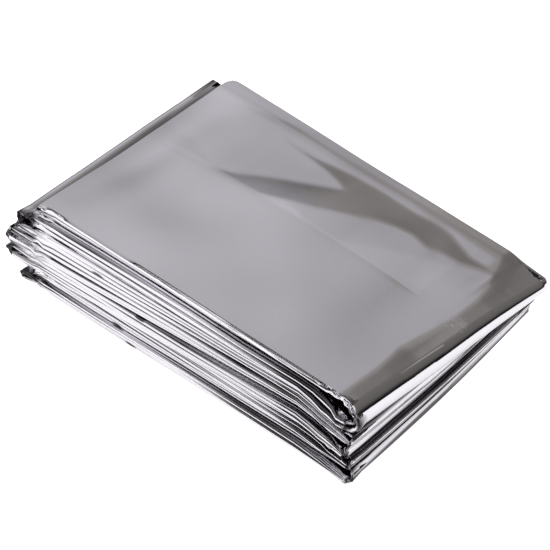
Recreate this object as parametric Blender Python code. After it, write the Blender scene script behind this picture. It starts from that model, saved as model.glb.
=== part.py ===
"""Emergency foil blanket: one sheet of metallised film, pleated into a strip
and folded back and forth into a flat pack."""

import math
from collections import namedtuple

import bmesh
import bpy
import numpy as np

MM = 0.001

# Pack sizes
PACK_LENGTH = 120.0 * MM
PACK_WIDTH = 76.0 * MM
LAYER_GAP = 0.30 * MM

# Height of the pack at its four corners, fuller along the near long side
HEIGHT_LEFT_NEAR = 27.0 * MM
HEIGHT_RIGHT_NEAR = 29.5 * MM
HEIGHT_RIGHT_FAR = 24.5 * MM
HEIGHT_LEFT_FAR = 24.0 * MM

# The far right corner springs up off the surface
CORNER_LIFT = 4.0 * MM
LIFT_START_X = 39.0 * MM
LIFT_START_Y = 8.0 * MM
LIFT_CURVE = 1.6

# The underside bears at its corners. Between them it is a hair's breadth
# hollow and its edges are drawn in.
UNDERSIDE_HOLLOW = 0.05 * MM
UNDERSIDE_DRAWN_IN = 0.6 * MM
DRAWN_IN_HEIGHT = 2.4 * MM
HOLLOW_LEFT = -56.0 * MM
HOLLOW_RIGHT_NEAR = 59.0 * MM
HOLLOW_RIGHT_FAR = 39.0 * MM

# Each turn is a little flatter than a half circle
TURN_ROUNDNESS = 0.92
TURN_ANGLES = tuple(math.radians(a) for a in (90.0, 58.0, 28.0, 0.0, -28.0, -58.0, -90.0))

# Stations along every panel, between its two turns
PANEL_STATIONS = tuple(x * MM for x in (-51.0, -40.0, -27.0, -13.0, 1.0, 15.0, 28.0, 39.0, 49.0))

# One row for each panel of the folded strip, from the top one down.
# Shares are parts of the pack's height at its left and right ends, edges in mm.
Panel = namedtuple("Panel", "left_share right_share near_left near_right far_left far_right")
PANELS = (
    Panel(1.3, 2.1, -34.5, -37.5, 37.5, 37.5),
    Panel(2.6, 2.4, -37.0, -38.8, 38.0, 38.0),
    Panel(2.7, 1.7, -38.3, -37.4, 38.6, 38.4),
    Panel(1.6, 1.8, -37.6, -38.6, 38.2, 39.0),
    Panel(1.7, 2.3, -39.2, -37.8, 37.4, 39.6),
    Panel(2.2, 2.2, -38.0, -39.4, 38.4, 40.2),
    Panel(2.3, 1.6, -39.4, -38.2, 37.8, 40.4),
    Panel(1.5, 1.9, -36.6, -39.6, 38.6, 40.0),
    Panel(1.4, 2.3, -37.8, -38.4, 38.0, 40.6),
    Panel(2.8, 2.4, -38.8, -39.8, 37.6, 40.2),
    Panel(2.9, 2.3, -38.2, -39.0, 38.2, 40.4),
)

# One row for each turn, from the top one down. The rims reach to the right
# and to the left in turn, and give how far the turn stands out at its near
# end and its far end, in mm.
Turn = namedtuple("Turn", "rim_near rim_far")
TURNS = (
    Turn(60.0, 60.0),
    Turn(-61.5, -60.5),
    Turn(57.6, 55.2),
    Turn(-64.0, -61.2),
    Turn(59.2, 54.0),
    Turn(-63.2, -60.0),
    Turn(58.0, 54.6),
    Turn(-57.2, -58.4),
    Turn(59.8, 53.2),
    Turn(-60.0, -59.6),
)

# Where the strip's two free ends stop, near and far, in mm
FreeEnd = namedtuple("FreeEnd", "near far")
TOP_END = FreeEnd(-56.6, -56.8)
BOTTOM_END = FreeEnd(57.2, 51.8)

# Rolled creases along the strip's long edges, as parts of its thickness
Lip = namedtuple("Lip", "centre radius set_back")
NEAR_LIPS = (Lip(0.27, 0.23, 0.0), Lip(-0.23, 0.27, 0.30))
FAR_LIPS = (Lip(0.22, 0.28, 0.25), Lip(-0.28, 0.22, 0.0))
LIP_ANGLES = tuple(math.radians(a) for a in (45.0, 0.0, -45.0))
NOTCH_DEPTH = 0.45

# Places across the strip where its outer and its inner face are shaped
OUTER_PLACES = (0.07, 0.20, 0.34, 0.48, 0.58, 0.66, 0.80, 0.93)
INNER_PLACES = (0.88, 0.50, 0.12)

# Relief of the top panel
CREASE_PLACE = 0.63
CREASE_RISE = 0.45 * MM
CREASE_WIDTH = 0.05
HOLLOW_DEPTH = 0.80 * MM
HOLLOW_X = 22.0 * MM
HOLLOW_Y = 16.0 * MM
HOLLOW_LENGTH = 24.0 * MM
HOLLOW_WIDTH = 7.0 * MM
HOLLOW_TURN = math.radians(-9.0)
SIDE_DROP = 1.2 * MM
SIDE_DROP_START = 44.0 * MM
SWELL_HEIGHT = 0.35 * MM

# Slow swelling of every panel along the pack
RIPPLE_SHARE = 0.10
RIPPLE_LENGTH = 74.0 * MM
RIPPLE_STEP = 2.1

FILM_COLOUR = (0.74, 0.73, 0.76, 1.0)
FILM_ROUGHNESS = 0.12
FILM_METALLIC = 1.0
SMOOTH_LIMIT = math.radians(50.0)


def mix(first, second, part):
    return first + (second - first) * part


def eased(part):
    part = min(max(part, 0.0), 1.0)
    return part * part * (3.0 - 2.0 * part)


def along(x):
    """Part of the pack's length that lies left of x."""
    return x / PACK_LENGTH + 0.5


def across(y):
    """Part of the pack's width that lies nearer than y."""
    return y / PACK_WIDTH + 0.5


def base_height(x, y):
    """Height of the pack's underside, flat but for the raised corner."""
    run_x = max(x - LIFT_START_X, 0.0) / (PACK_LENGTH / 2 - LIFT_START_X)
    run_y = max(y - LIFT_START_Y, 0.0) / (PACK_WIDTH / 2 - LIFT_START_Y)
    lift = CORNER_LIFT * (run_x * run_y) ** LIFT_CURVE
    right = mix(HOLLOW_RIGHT_NEAR, HOLLOW_RIGHT_FAR, across(y))
    part = min(max((x - HOLLOW_LEFT) / (right - HOLLOW_LEFT), 0.0), 1.0)
    middle = max(1.0 - (2.0 * across(y) - 1.0) ** 2, 0.0)
    return lift + UNDERSIDE_HOLLOW * (math.sin(math.pi * part) + middle)


def top_height(x, y):
    left = mix(HEIGHT_LEFT_NEAR, HEIGHT_LEFT_FAR, across(y))
    right = mix(HEIGHT_RIGHT_NEAR, HEIGHT_RIGHT_FAR, across(y))
    return mix(left, right, along(x))


def panel_share(number, x):
    row = PANELS[number]
    ripple = math.sin(2.0 * math.pi * x / RIPPLE_LENGTH + RIPPLE_STEP * number)
    return mix(row.left_share, row.right_share, along(x)) * (1.0 + RIPPLE_SHARE * ripple)


def panel_slabs(x, y):
    """Underside and thickness of every panel at one place, from the top one down."""
    shares = [panel_share(number, x) for number in range(len(PANELS))]
    film = top_height(x, y) - base_height(x, y) - LAYER_GAP * (len(PANELS) - 1)
    slabs = []
    level = base_height(x, y)
    for share in reversed(shares):
        thickness = film * share / sum(shares)
        slabs.append((level, thickness))
        level += thickness + LAYER_GAP
    slabs.reverse()
    return slabs


def top_relief(x, y):
    """Crease, hollow and rounded side of the top panel, added to its upper face."""
    ridge = CREASE_RISE * math.exp(-((across(y) - CREASE_PLACE) / CREASE_WIDTH) ** 2)
    dx = x - HOLLOW_X
    dy = y - HOLLOW_Y
    run = dx * math.cos(HOLLOW_TURN) + dy * math.sin(HOLLOW_TURN)
    side = dy * math.cos(HOLLOW_TURN) - dx * math.sin(HOLLOW_TURN)
    hollow = HOLLOW_DEPTH * math.exp(-(run / HOLLOW_LENGTH) ** 2 - (side / HOLLOW_WIDTH) ** 2)
    drop = SIDE_DROP * eased((x - SIDE_DROP_START) / (PACK_LENGTH / 2 - SIDE_DROP_START))
    swell = SWELL_HEIGHT * math.sin(math.pi * along(x)) * math.sin(math.pi * across(y))
    return swell + ridge - hollow - drop


def lip_points(lips):
    """Rolled edge from the outer face down to the inner one: (inset, height)."""
    upper, lower = lips
    points = [(upper.set_back + upper.radius, 0.5)]
    for angle in LIP_ANGLES:
        points.append((upper.set_back + upper.radius * (1.0 - math.cos(angle)),
                       upper.centre + upper.radius * math.sin(angle)))
    points.append((NOTCH_DEPTH, upper.centre - upper.radius))
    for angle in LIP_ANGLES:
        points.append((lower.set_back + lower.radius * (1.0 - math.cos(angle)),
                       lower.centre + lower.radius * math.sin(angle)))
    points.append((lower.set_back + lower.radius, -0.5))
    return points


def strip_section():
    """Outline of the pleated strip: (place across, inset, height), all as parts."""
    outline = [(place, 0.0, 0.5) for place in OUTER_PLACES]
    outline += [(1.0, -inset, height) for inset, height in lip_points(FAR_LIPS)]
    outline += [(place, 0.0, -0.5) for place in INNER_PLACES]
    outline += [(0.0, inset, height) for inset, height in reversed(lip_points(NEAR_LIPS))]
    return outline


def edge_y(number, x, place):
    """Y of a place across one panel, between its near and far edges."""
    row = PANELS[number]
    near = mix(row.near_left, row.near_right, along(x)) * MM
    far = mix(row.far_left, row.far_right, along(x)) * MM
    return mix(near, far, place)


def drawn_in(x, y, z):
    """A point of the lowest folds, pulled towards the middle between the corners."""
    fade = eased(1.0 - z / DRAWN_IN_HEIGHT) * UNDERSIDE_DRAWN_IN
    bow_x = fade * max(1.0 - (y * 2.0 / PACK_WIDTH) ** 2, 0.0)
    bow_y = fade * max(1.0 - (x * 2.0 / PACK_LENGTH) ** 2, 0.0)
    return (x - math.copysign(bow_x, x), y - math.copysign(bow_y, y), z)


def panel_ring(section, number, x_near, x_far):
    """The strip's outline where it crosses one panel."""
    facing = 1.0 if number % 2 == 0 else -1.0
    ring = []
    for place, inset, height in section:
        x = mix(x_near, x_far, place)
        y = edge_y(number, x, place)
        thickness = panel_slabs(x, y)[number][1]
        y += inset * thickness
        level, thickness = panel_slabs(x, y)[number]
        z = level + thickness * (0.5 + facing * height)
        if number == 0 and height > 0.0:
            z += top_relief(x, y) * height / 0.5
        ring.append(drawn_in(x, y, z))
    return ring


def turn_ring(section, number, angle):
    """The strip's outline where it goes round the turn under one panel."""
    right_hand = number % 2 == 0
    side = 1.0 if right_hand else -1.0
    row = TURNS[number]
    lower_part = 0.5 - math.sin(angle) / 2.0
    ring = []
    for place, inset, height in section:
        rim = mix(row.rim_near, row.rim_far, place) * MM
        y = mix(edge_y(number, rim, place), edge_y(number + 1, rim, place), lower_part)
        slabs = panel_slabs(rim, y)
        y += inset * mix(slabs[number][1], slabs[number + 1][1], lower_part)
        slabs = panel_slabs(rim, y)
        thickness = mix(slabs[number][1], slabs[number + 1][1], lower_part)
        outer = LAYER_GAP / 2 + thickness
        depth = 0.5 + (height if right_hand else -height)
        radius = LAYER_GAP / 2 + depth * thickness
        x = rim + side * TURN_ROUNDNESS * (radius * math.cos(angle) - outer)
        slabs = panel_slabs(x, y)
        middle = slabs[number][0] - LAYER_GAP / 2
        thickness = mix(slabs[number][1], slabs[number + 1][1], lower_part)
        z = middle + (LAYER_GAP / 2 + depth * thickness) * math.sin(angle)
        if number == 0 and height > 0.0:
            z += top_relief(x, y) * max(math.sin(angle), 0.0) * height / 0.5
        ring.append(drawn_in(x, y, z))
    return ring


def strip_rings():
    """All outlines of the strip, from its free end on top to the one below."""
    section = strip_section()
    last = len(PANELS) - 1
    rings = []
    for number in range(len(PANELS)):
        stations = PANEL_STATIONS if number % 2 == 0 else PANEL_STATIONS[::-1]
        if number == 0:
            rings.append(panel_ring(section, number, TOP_END.near * MM, TOP_END.far * MM))
        for x in stations:
            rings.append(panel_ring(section, number, x, x))
        if number == last:
            rings.append(panel_ring(section, number, BOTTOM_END.near * MM, BOTTOM_END.far * MM))
        else:
            for angle in TURN_ANGLES:
                rings.append(turn_ring(section, number, angle))
    return rings


def film_material():
    material = bpy.data.materials.new("metallised_film")
    material.use_nodes = True
    shader = material.node_tree.nodes["Principled BSDF"]
    shader.inputs["Base Color"].default_value = FILM_COLOUR
    shader.inputs["Roughness"].default_value = FILM_ROUGHNESS
    shader.inputs["Metallic"].default_value = FILM_METALLIC
    return material


def loft(rings):
    """Closed solid through the outlines, centred over the origin and standing on it."""
    points = np.array(rings)
    low = points.min(axis=(0, 1))
    high = points.max(axis=(0, 1))
    centre = (low + high) / 2.0
    points -= np.array([centre[0], centre[1], low[2]])
    count = points.shape[1]
    bm = bmesh.new()
    rows = [[bm.verts.new(point) for point in ring] for ring in points]
    for first, second in zip(rows, rows[1:]):
        for i in range(count):
            j = (i + 1) % count
            bm.faces.new((first[i], second[i], second[j], first[j]))
    bm.faces.new(rows[0])
    bm.faces.new(list(reversed(rows[-1])))
    bmesh.ops.triangulate(bm, faces=bm.faces[:])
    bmesh.ops.recalc_face_normals(bm, faces=bm.faces[:])
    mesh = bpy.data.meshes.new("folded_blanket")
    bm.to_mesh(mesh)
    bm.free()
    return mesh


for old in list(bpy.data.objects):
    bpy.data.objects.remove(old, do_unlink=True)

collection = bpy.data.collections.new("emergency foil blanket")
bpy.context.scene.collection.children.link(collection)

# Folded blanket: a single cut sheet of film, nothing sewn or fitted to it
blanket_mesh = loft(strip_rings())
blanket_mesh.shade_smooth()
blanket_mesh.set_sharp_from_angle(angle=SMOOTH_LIMIT)
blanket_mesh.materials.append(film_material())
blanket = bpy.data.objects.new("folded_blanket", blanket_mesh)
collection.objects.link(blanket)
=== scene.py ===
import math
from collections import namedtuple

import bpy
import numpy as np
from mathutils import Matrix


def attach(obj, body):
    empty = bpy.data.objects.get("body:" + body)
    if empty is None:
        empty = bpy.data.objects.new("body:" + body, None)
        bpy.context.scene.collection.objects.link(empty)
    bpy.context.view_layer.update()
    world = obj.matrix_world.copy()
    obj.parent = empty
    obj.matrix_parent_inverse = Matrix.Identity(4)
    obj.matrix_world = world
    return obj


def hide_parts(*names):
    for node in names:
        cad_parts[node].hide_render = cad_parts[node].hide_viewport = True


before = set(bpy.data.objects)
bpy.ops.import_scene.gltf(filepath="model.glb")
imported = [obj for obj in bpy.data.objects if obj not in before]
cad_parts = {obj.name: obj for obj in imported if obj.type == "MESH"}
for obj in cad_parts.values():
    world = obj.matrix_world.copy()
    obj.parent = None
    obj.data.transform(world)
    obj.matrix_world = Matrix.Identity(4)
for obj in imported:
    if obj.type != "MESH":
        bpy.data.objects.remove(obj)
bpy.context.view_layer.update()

# The blanket: one cut sheet of metallised polyester film, 1.32 x 2.13 m.
# It is laid up in seven plies, pleated into a strip four leaves deep, and the
# strip is folded back and forth into eleven panels, pressed flat by hand.
MM = 0.001
PACK_LENGTH = 120.0 * MM
PACK_WIDTH = 76.0 * MM
PACK_CENTRE = (-2.0 * MM, 0.3 * MM)
PANEL_GAP = 0.14 * MM
HEIGHT_LEFT_NEAR = 27.0 * MM
HEIGHT_RIGHT_NEAR = 29.5 * MM
HEIGHT_RIGHT_FAR = 24.5 * MM
HEIGHT_LEFT_FAR = 24.0 * MM
CORNER_LIFT = 5.5 * MM
LIFT_START_X = 39.0 * MM
LIFT_START_Y = 8.0 * MM
LIFT_CURVE = 1.6
RIPPLE_SHARE = 0.10
RIPPLE_LENGTH = 74.0 * MM
RIPPLE_STEP = 2.1

# One row for each panel of the folded strip, from the top one down: its share
# of the height at each corner, and where its long edges lie, in mm.
Panel = namedtuple("Panel", "left_near left_far right_near right_far "
                            "near_at_left near_at_right far_at_left far_at_right")
PANELS = (
    Panel(2.3, 1.0, 2.1, 2.1, -35.5, -37.8, 40.6, 38.8),
    Panel(2.9, 2.3, 2.4, 2.4, -38.2, -38.8, 38.0, 38.6),
    Panel(2.9, 2.6, 1.7, 1.7, -39.3, -37.6, 38.6, 38.4),
    Panel(2.8, 1.8, 1.8, 1.8, -39.4, -38.6, 38.2, 39.0),
    Panel(2.3, 1.9, 2.3, 2.3, -40.0, -37.8, 37.4, 39.6),
    Panel(2.3, 2.2, 2.2, 2.2, -39.6, -39.4, 38.4, 40.2),
    Panel(1.9, 2.3, 1.6, 1.6, -39.8, -38.2, 37.8, 40.4),
    Panel(1.6, 1.6, 1.9, 1.9, -37.4, -39.6, 38.6, 40.0),
    Panel(1.5, 1.5, 2.3, 2.3, -38.4, -38.4, 38.0, 40.6),
    Panel(1.4, 2.8, 2.4, 2.4, -39.4, -39.8, 37.6, 40.2),
    Panel(1.5, 2.9, 2.3, 2.3, -38.9, -39.0, 38.2, 40.4),
)

# The top turn on the right is a loose fat roll towards the near side: there the
# first two panels swell by this much over this run.
SWOLLEN_PANELS = 2
SWOLLEN_NEAR = 1.40
SWOLLEN_FAR = 0.85
SWOLLEN_FROM = 40.0 * MM
SWOLLEN_TO = 57.0 * MM

# One row for each turn, from the top one down: how far its rim stands out, how
# far the hollow inside it runs back, how thick its leaves stay round it as a
# share of the panel, how much of the panel's height it fills, how square its
# shoulder is, and how deep the ridges along it are, in mm.
Turn = namedtuple("Turn", "rim_near rim_far hollow_near hollow_far shell_near shell_far "
                          "fill_near fill_far shoulder ridge")
TURNS = (
    Turn(62.3, 61.7, 14.0, 6.0, 0.50, 0.60, 1.00, 1.00, 1.00, 0.00),
    Turn(-62.8, -62.4, 9.0, 5.0, 0.50, 0.60, 0.86, 1.00, 1.00, 0.10),
    Turn(60.4, 56.0, 7.0, 4.0, 0.55, 0.60, 0.85, 0.95, 0.90, 0.40),
    Turn(-65.6, -61.6, 8.0, 5.0, 0.50, 0.60, 0.72, 0.90, 1.00, 0.10),
    Turn(59.6, 54.6, 7.0, 4.0, 0.50, 0.60, 0.90, 0.95, 0.90, 0.44),
    Turn(-65.2, -60.6, 9.0, 5.0, 0.48, 0.55, 0.90, 0.95, 1.00, 0.10),
    Turn(60.6, 55.0, 6.0, 4.0, 0.55, 0.60, 0.82, 0.95, 0.90, 0.42),
    Turn(-57.6, -58.4, 6.0, 4.0, 0.55, 0.60, 0.85, 0.90, 1.00, 0.08),
    Turn(61.0, 53.6, 8.0, 4.0, 0.50, 0.60, 0.94, 0.95, 0.90, 0.34),
    Turn(-61.0, -59.8, 10.0, 5.0, 0.55, 0.60, 0.95, 0.95, 1.00, 0.06),
)
TURN_ROUNDNESS = 0.92
TURN_ANGLES = tuple(np.linspace(math.pi / 2, -math.pi / 2, 13))
RIDGES = 2.3
RIDGE_DRIFT = 1.3
FILL_RUN = 9.0 * MM
HOLLOW_TAPER = 1.4
RIM_ONLY = 0.01
CLEAR_AFTER_TURN = 0.6 * MM
CLEAR_BEFORE_TURN = 0.3 * MM
TOP_END = (-56.6, -56.8)
BOTTOM_END = (58.4, 52.0)
BOTTOM_END_CLEAR = 1.0

TOP_STATIONS = np.concatenate([
    np.linspace(-56.0, 40.0, 73), np.linspace(40.7, 58.2, 24)]) * MM
PANEL_STATIONS = np.array([-56.0, -54.0, -51.5, -48.5, -44.0, -34.0, -20.0, 0.0, 20.0, 33.0,
                           41.0, 46.0, 49.5, 52.0, 54.5]) * MM
BESIDE_END_STATIONS = np.array([-59.7, -59.1, -58.5, -57.9, -57.2]) * MM
PLACES = (0.0, 0.5, 1.0)
LOOSE_REACH = 17.0 * MM
RECESS_LEFT = 0.25
RECESS_RIGHT = 1.50
RECESS_STEP = 1.9
ROLL_DEPTH_LEFT = 0.45
ROLL_DEPTH_RIGHT = 1.25
ROLL_DEPTH_SWING = 0.15
ROLL_DEPTH_STEP = 2.3


def mix(first, second, part):
    return first + (second - first) * part


def eased(part):
    part = min(max(part, 0.0), 1.0)
    return part * part * (3.0 - 2.0 * part)


def along(x):
    return x / PACK_LENGTH + 0.5


def across(y):
    return y / PACK_WIDTH + 0.5


def base_height(x, y):
    run_x = max(x - LIFT_START_X, 0.0) / (PACK_LENGTH / 2 - LIFT_START_X)
    run_y = max(y - LIFT_START_Y, 0.0) / (PACK_WIDTH / 2 - LIFT_START_Y)
    return CORNER_LIFT * (run_x * run_y) ** LIFT_CURVE


def top_height(x, y):
    left = mix(HEIGHT_LEFT_NEAR, HEIGHT_LEFT_FAR, across(y))
    right = mix(HEIGHT_RIGHT_NEAR, HEIGHT_RIGHT_FAR, across(y))
    return mix(left, right, along(x))


def corners(left_near, left_far, right_near, right_far, x, y):
    near = mix(left_near, right_near, along(x))
    far = mix(left_far, right_far, along(x))
    return mix(near, far, across(y))


def panel_slabs(x, y):
    """Underside and thickness of every panel at one place, from the top one down."""
    swell = eased((x - SWOLLEN_FROM) / (SWOLLEN_TO - SWOLLEN_FROM))
    swell *= mix(SWOLLEN_NEAR, SWOLLEN_FAR, min(max(across(y), 0.0), 1.0))
    shares = []
    for number, row in enumerate(PANELS):
        ripple = math.sin(2.0 * math.pi * x / RIPPLE_LENGTH + RIPPLE_STEP * number)
        share = corners(row.left_near, row.left_far, row.right_near, row.right_far, x, y)
        if number < SWOLLEN_PANELS:
            share *= 1.0 + swell
        shares.append(share * (1.0 + RIPPLE_SHARE * ripple))
    film = top_height(x, y) - base_height(x, y) - PANEL_GAP * (len(PANELS) - 1)
    slabs = []
    level = base_height(x, y)
    for share in reversed(shares):
        thickness = film * share / sum(shares)
        slabs.append((level, thickness))
        level += thickness + PANEL_GAP
    slabs.reverse()
    return slabs


def edge_y(number, x, place):
    row = PANELS[number]
    near = mix(row.near_at_left, row.near_at_right, along(x)) * MM
    far = mix(row.far_at_left, row.far_at_right, along(x)) * MM
    return mix(near, far, place)


def turn_side(number):
    return 1.0 if number % 2 == 0 else -1.0


def turn_frame(number, place, lower_part=0.5):
    """Where a turn begins, at one place across the strip."""
    row = TURNS[number]
    rim = mix(row.rim_near, row.rim_far, place) * MM
    y = mix(edge_y(number, rim, place), edge_y(number + 1, rim, place), lower_part)
    slabs = panel_slabs(rim, y)
    thickness = mix(slabs[number][1], slabs[number + 1][1], lower_part)
    fill = mix(row.fill_near, row.fill_far, place)
    reach = TURN_ROUNDNESS * (PANEL_GAP / 2 + thickness * fill)
    return rim - turn_side(number) * reach, y, thickness


def turn_shares(number, x, place):
    """Parts of a panel's thickness lost inside and outside near one of its turns."""
    row = TURNS[number]
    start, _, _ = turn_frame(number, place)
    distance = max((start - x) * turn_side(number), 0.0)
    fill = mix(row.fill_near, row.fill_far, place)
    shell = mix(row.shell_near, row.shell_far, place)
    length = mix(row.hollow_near, row.hollow_far, place) * MM
    inside = (fill - shell) * (1.0 - eased(distance / length)) ** HOLLOW_TAPER
    outside = (1.0 - fill) * (1.0 - eased(distance / FILL_RUN))
    return inside, outside


def panel_station(number, x_near, x_far):
    """Middle and thickness of the strip where it crosses a panel, near, midway and far."""
    facing = 1.0 if number % 2 == 0 else -1.0
    middles = []
    throughs = []
    for place in PLACES:
        x = mix(x_near, x_far, place)
        y = edge_y(number, x, place)
        level, thickness = panel_slabs(x, y)[number]
        low = level
        high = level + thickness
        if number < len(TURNS):
            inside, outside = turn_shares(number, x, place)
            low += thickness * inside
            high -= thickness * outside
        if number > 0:
            inside, outside = turn_shares(number - 1, x, place)
            high -= thickness * inside
            low += thickness * outside
        middles.append((x, y, (low + high) / 2))
        throughs.append((0.0, 0.0, facing * (high - low)))
    return middles, throughs


def turn_station(number, angle):
    """The same where the strip goes round a turn."""
    row = TURNS[number]
    side = turn_side(number)
    lower_part = 0.5 - math.sin(angle) / 2.0
    outward = math.copysign(abs(math.cos(angle)) ** row.shoulder, math.cos(angle))
    upward = math.copysign(abs(math.sin(angle)) ** row.shoulder, math.sin(angle))
    normal = np.array([side * math.cos(angle), 0.0, math.sin(angle)])
    middles = []
    throughs = []
    for place in PLACES:
        start, y, _ = turn_frame(number, place, lower_part)
        slabs = panel_slabs(start, y)
        thickness = mix(slabs[number][1], slabs[number + 1][1], lower_part)
        fill = mix(row.fill_near, row.fill_far, place)
        outer = PANEL_GAP / 2 + thickness * fill
        centre_z = slabs[number][0] - PANEL_GAP / 2
        shell = mix(row.shell_near, row.shell_far, place) * thickness
        rim_point = np.array([start + side * TURN_ROUNDNESS * outer * outward, y,
                              centre_z + outer * upward])
        if math.cos(angle) > RIM_ONLY:
            wave = math.sin(RIDGES * angle * 2.0 + number + RIDGE_DRIFT * place * (1.0 + number % 3))
            rim_point = rim_point + normal * row.ridge * MM * wave * math.cos(angle) ** 0.5
        middles.append(tuple(rim_point - normal * shell / 2))
        throughs.append(tuple(normal * shell * side))
    return middles, throughs


def clear_of_turns(number, x):
    """True where a panel's station keeps off its turns and off the strip's ends."""
    for turn, margin in ((number - 1, CLEAR_AFTER_TURN), (number, CLEAR_BEFORE_TURN)):
        if 0 <= turn < len(TURNS):
            starts = [turn_frame(turn, place)[0] for place in (0.0, 1.0)]
            if any((start - x) * turn_side(turn) <= margin for start in starts):
                return False
    if number == 0:
        return x > TOP_END[0] * MM
    return number < len(PANELS) - 1 or x < (BOTTOM_END[1] - BOTTOM_END_CLEAR) * MM


# Every station along the strip, and beside it the panel it is on, how loose and
# how uneven its creases are, and which way a turn faces there
stations = []
panel_of = []
loose_of = []
recess_of = []
depth_of = []
angle_of = []


def add_station(pair, number, x, angle=None):
    stations.append(pair)
    panel_of.append(float(number))
    loose_of.append(eased(1.0 - (PACK_LENGTH / 2 - abs(x)) / LOOSE_REACH))
    angle_of.append(0.0 if angle is None else math.sin(angle))
    unevenness = 0.5 + 0.5 * math.sin(RECESS_STEP * number + 1.0)
    recess_of.append(mix(RECESS_LEFT, RECESS_RIGHT, eased(along(x))) * unevenness)
    drift = ROLL_DEPTH_SWING * math.sin(ROLL_DEPTH_STEP * number)
    depth_of.append(mix(ROLL_DEPTH_LEFT, ROLL_DEPTH_RIGHT, eased(along(x) + drift)))


for number in range(len(PANELS)):
    if number == 0:
        add_station(panel_station(0, TOP_END[0] * MM, TOP_END[1] * MM), 0, TOP_END[0] * MM)
        panel_line = TOP_STATIONS
    else:
        panel_line = PANEL_STATIONS if number % 2 == 0 else PANEL_STATIONS[::-1]
        if number == 1:
            panel_line = np.concatenate([panel_line, BESIDE_END_STATIONS[::-1]])
    for x in panel_line:
        if clear_of_turns(number, x):
            add_station(panel_station(number, x, x), number, x)
    if number < len(TURNS):
        for angle in TURN_ANGLES:
            add_station(turn_station(number, angle), number + 0.5 - math.sin(angle) / 2,
                        turn_side(number) * PACK_LENGTH / 2, angle)
    else:
        add_station(panel_station(number, BOTTOM_END[0] * MM, BOTTOM_END[1] * MM), number,
                    BOTTOM_END[0] * MM)

# The pleated strip's own section: seven plies, each four leaves deep, with two
# rolled creases on its near edge and one on its far edge.
PLIES = 7
LEAVES = 4
SPACING = 1.0 / (PLIES * LEAVES)
ROLL_CENTRE = 0.25
ROLL_INSET = 0.25
ROLL_STEPS = (9, 4, 4, 4, 3, 3, 3)
FAR_SET_BACK = 0.12
SECOND_ROLL_RECESS = 0.30
JOINER_INSET = -0.16
JOINER_STEP = 0.03
TOP_LEAF_PLACES = np.concatenate([
    np.linspace(1.004, 0.96, 5), np.linspace(0.951, 0.626, 36), np.linspace(0.619, 0.591, 7),
    np.linspace(0.580, 0.10, 28), np.linspace(0.085, 0.02, 5), [0.006]])
OUTER_PLACES = (0.995, 0.83, 0.66, 0.5, 0.34, 0.17, 0.04)
HIDDEN_PLACES = (0.94, 0.5, 0.06)
Column = namedtuple("Column", "place inset height roll edge recess bend")


def leaf_columns(ply, leaf):
    if ply == 0 and leaf == 0:
        places = TOP_LEAF_PLACES
    elif ply == 0 and leaf == LEAVES - 1:
        places = np.array(OUTER_PLACES)
    else:
        places = np.array(HIDDEN_PLACES)
    if leaf % 2 == 1:
        places = places[::-1]
    offset = (ply + 0.5) if leaf % 2 == 0 else (PLIES - 0.5 - ply)
    height = 0.5 - leaf * PLIES * SPACING - offset * SPACING
    return [Column(p, 0.0, height, float(leaf // 2), 0.0, 0.0, 0.0) for p in places]


def roll_columns(centre, radius, near, recess, roll, steps):
    """A crease's rolled edge, from the leaf above it to the leaf below."""
    place = 0.0 if near else 1.0
    inward = 1.0 if near else -1.0
    columns = []
    for angle in np.linspace(math.pi / 2, -math.pi / 2, steps):
        inset = ROLL_INSET - radius * math.cos(angle)
        columns.append(Column(place, inward * inset, centre + radius * math.sin(angle), roll, 1.0,
                              inward * recess, math.sin(angle)))
    return columns


def ply_columns(ply):
    outer = (PLIES - 0.5 - ply) * SPACING
    inner = (ply + 0.5) * SPACING
    near_steps = ROLL_STEPS[ply]
    far_steps = ROLL_STEPS[PLIES - 1 - ply]
    columns = leaf_columns(ply, 0)
    columns += roll_columns(ROLL_CENTRE, outer, True, 0.0, 0.0, near_steps)
    columns += leaf_columns(ply, 1)
    columns += roll_columns(0.0, inner, False, FAR_SET_BACK, 3.0, far_steps)
    columns += leaf_columns(ply, 2)
    columns += roll_columns(-ROLL_CENTRE, outer, True, SECOND_ROLL_RECESS, 1.0, near_steps)
    columns += leaf_columns(ply, 3)
    return columns if ply % 2 == 0 else columns[::-1]


section = []
for ply in range(PLIES):
    if ply:
        lift = SPACING / 2 if ply % 2 == 0 else -SPACING / 2
        section.append(Column(1.0, JOINER_INSET - JOINER_STEP * ply, section[-1].height - lift, 4.0,
                              1.0, 0.0, 1.0))
    section += ply_columns(ply)


# The stations and the section go into two small guide meshes, and a node tree
# lays the leaves of film along them.
def guide(name, positions, numbers, vectors):
    mesh = bpy.data.meshes.new(name)
    mesh.from_pydata(positions, [], [])
    for key, values in numbers.items():
        layer = mesh.attributes.new(key, "FLOAT", "POINT")
        layer.data.foreach_set("value", np.array(values, dtype=np.float32))
    for key, values in vectors.items():
        layer = mesh.attributes.new(key, "FLOAT_VECTOR", "POINT")
        layer.data.foreach_set("vector", np.array(values, dtype=np.float32).ravel())
    obj = bpy.data.objects.new(name, mesh)
    bpy.context.scene.collection.objects.link(obj)
    return obj


SIDE_NAMES = ("near", "midway", "far")
station_vectors = {}
for i, side_name in enumerate(SIDE_NAMES):
    station_vectors["middle " + side_name] = [pair[0][i] for pair in stations]
    station_vectors["through " + side_name] = [pair[1][i] for pair in stations]
fold_guide = guide("fold_guide", [pair[0][1] for pair in stations],
                   {"panel": panel_of, "loose": loose_of, "recess": recess_of,
                    "roll depth": depth_of}, station_vectors)
section_guide = guide("section_guide", [(c.place, c.inset, c.height) for c in section],
                      {"roll": [c.roll for c in section], "edge": [c.edge for c in section],
                       "recess": [c.recess for c in section]}, {})

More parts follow.
